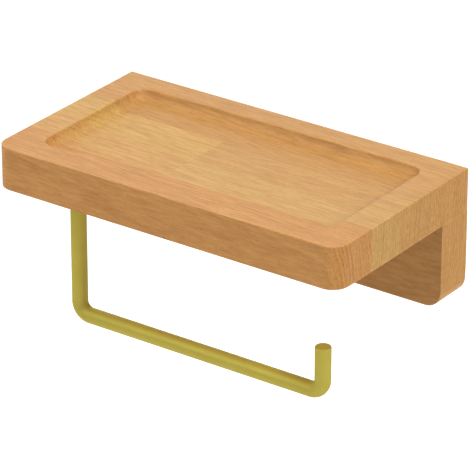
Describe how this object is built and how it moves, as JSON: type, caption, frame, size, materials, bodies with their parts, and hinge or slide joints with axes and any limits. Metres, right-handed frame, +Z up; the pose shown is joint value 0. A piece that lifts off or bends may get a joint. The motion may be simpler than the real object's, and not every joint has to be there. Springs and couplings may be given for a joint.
{
  "type": "toilet paper holder",
  "caption": "Wall-hung toilet paper holder: a wooden shelf with a shallow routed tray on a back rail, and a bent metal arm below it that swivels.",
  "frame": {"origin": "centre of the back rail's rear face, which lies against the wall", "axes": "+X along the wall to the right as seen from the room, +Y into the wall, +Z up"},
  "size_m": [0.2, 0.1102, 0.0982],
  "materials": {
    "beech": "oiled, fine sanded",
    "dowel_beech": "raw, fluted",
    "satin_gold": "satin gold coating",
    "insert_brass": "turned",
    "zinc_steel": "zinc plated",
    "nylon": "natural, matte"
  },
  "bodies": {
    "holder": {"tray_shelf": "beech", "back_rail": "beech", "dowel_left": "dowel_beech", "dowel_centre": "dowel_beech", "dowel_right": "dowel_beech", "threaded_insert": "insert_brass", "friction_washer": "nylon", "hanger_left": "zinc_steel", "hanger_right": "zinc_steel", "screw_left_lower": "zinc_steel", "screw_left_upper": "zinc_steel", "screw_right_lower": "zinc_steel", "screw_right_upper": "zinc_steel"},
    "arm": {"roll_arm": "satin_gold"}
  },
  "joints": [
    {"name": "arm_swivel", "type": "hinge", "parent": "holder", "child": "arm", "pos_m": [-0.0724, -0.0806, -0.0498], "axis": [0, 0, 1], "range_deg": [-210, 30]}
  ]
}
